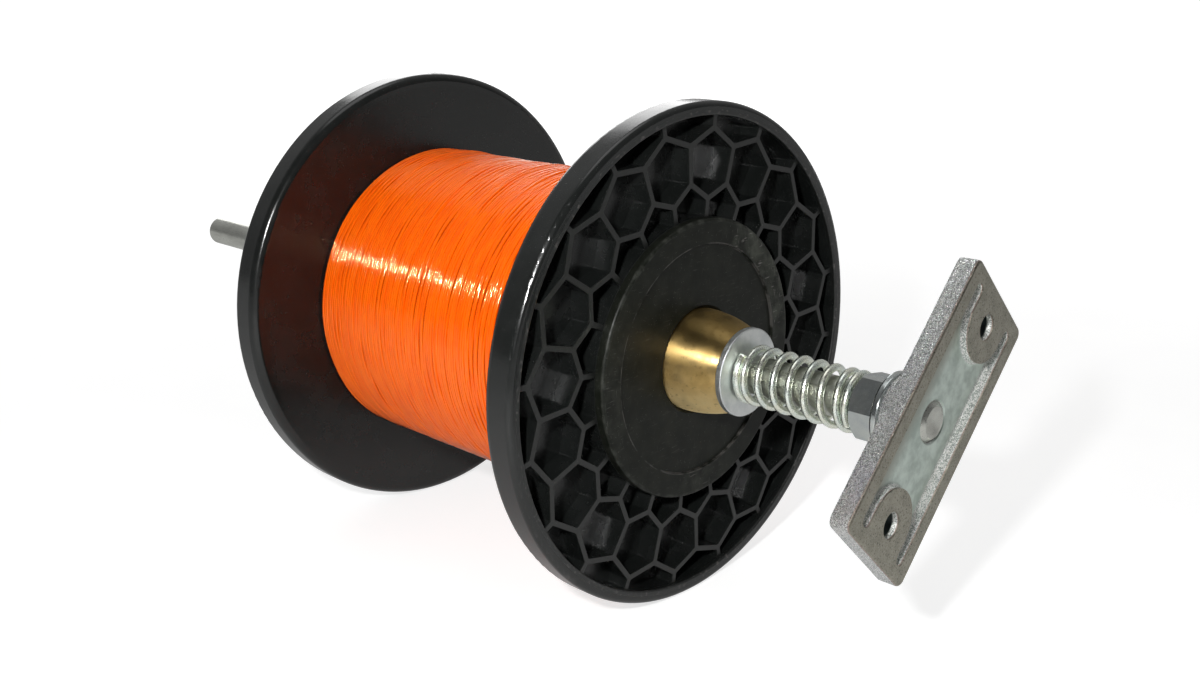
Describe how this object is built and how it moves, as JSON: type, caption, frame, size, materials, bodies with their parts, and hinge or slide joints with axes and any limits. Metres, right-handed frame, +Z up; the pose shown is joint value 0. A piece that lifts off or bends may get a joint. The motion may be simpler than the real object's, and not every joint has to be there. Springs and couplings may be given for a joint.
{
  "type": "fishing line winder",
  "caption": "Bulk line spool with honeycomb flanges, turning on a fixed rod between brass cones, with a spring drag and a cast plate that is screwed to a wall or a bench.",
  "frame": {"origin": "the middle of the plate's mounting face, on the rod's axis, midway between the screw holes", "axes": "+X points out of the mounting face, away from the spool, so the rod and the spool lie on the -X side; +Z up"},
  "size_m": [0.2979, 0.129, 0.129],
  "materials": {
    "cast_zinc": "cast, zinc plated, satin",
    "rod_steel": "plain drawn steel",
    "bright_zinc": "bright zinc plated",
    "spring_steel": "bright wire",
    "washer_zinc": "matt zinc plated",
    "brass": "turned, satin",
    "flange_plastic": "black, satin moulded",
    "hub_plastic": "black, matt and scuffed",
    "barrel_plastic": "black, plain",
    "orange_line": "orange monofilament, glossy",
    "collar_steel": "zinc plated"
  },
  "bodies": {
    "stand": {"mounting_plate": "cast_zinc", "axle_rod": "rod_steel", "flange_nut": "bright_zinc", "tension_spring": "spring_steel"},
    "tension_washer": {"thrust_washer": "washer_zinc"},
    "spool": {"front_cone": "brass", "front_flange": "flange_plastic", "front_hub": "hub_plastic", "spool_barrel": "barrel_plastic", "line_core": "orange_line", "line_turns": "orange_line", "rear_hub": "hub_plastic", "rear_flange": "flange_plastic"},
    "stop_collar": {"stop_collar": "collar_steel"},
    "rear_cone": {"rear_cone": "brass"},
    "thumb_screw": {"thumb_screw": "collar_steel"}
  },
  "joints": [
    {"name": "tension_slide", "type": "slide", "parent": "stand", "child": "tension_washer", "axis": [1, 0, 0], "range_m": [0, 0.011], "stiffness_N_per_m": 700, "springref_m": -0.012, "deforming": ["tension_spring"]},
    {"name": "spool_spin", "type": "hinge", "parent": "tension_washer", "child": "spool", "pos_m": [-0.12455, 0, 0], "axis": [1, 0, 0], "continuous": true},
    {"name": "collar_slide", "type": "slide", "parent": "stand", "child": "stop_collar", "axis": [-1, 0, 0], "range_m": [0, 0.085]},
    {"name": "rear_cone_spin", "type": "hinge", "parent": "stop_collar", "child": "rear_cone", "pos_m": [-0.18785, 0, 0], "axis": [1, 0, 0], "continuous": true},
    {"name": "screw_turn", "type": "hinge", "parent": "stop_collar", "child": "thumb_screw", "pos_m": [-0.20035, 0, 0], "axis": [0, 0, 1], "range_deg": [0, 360]}
  ],
  "couplings": [
    {"joint": "rear_cone_spin", "follows": "spool_spin", "ratio": 1}
  ]
}
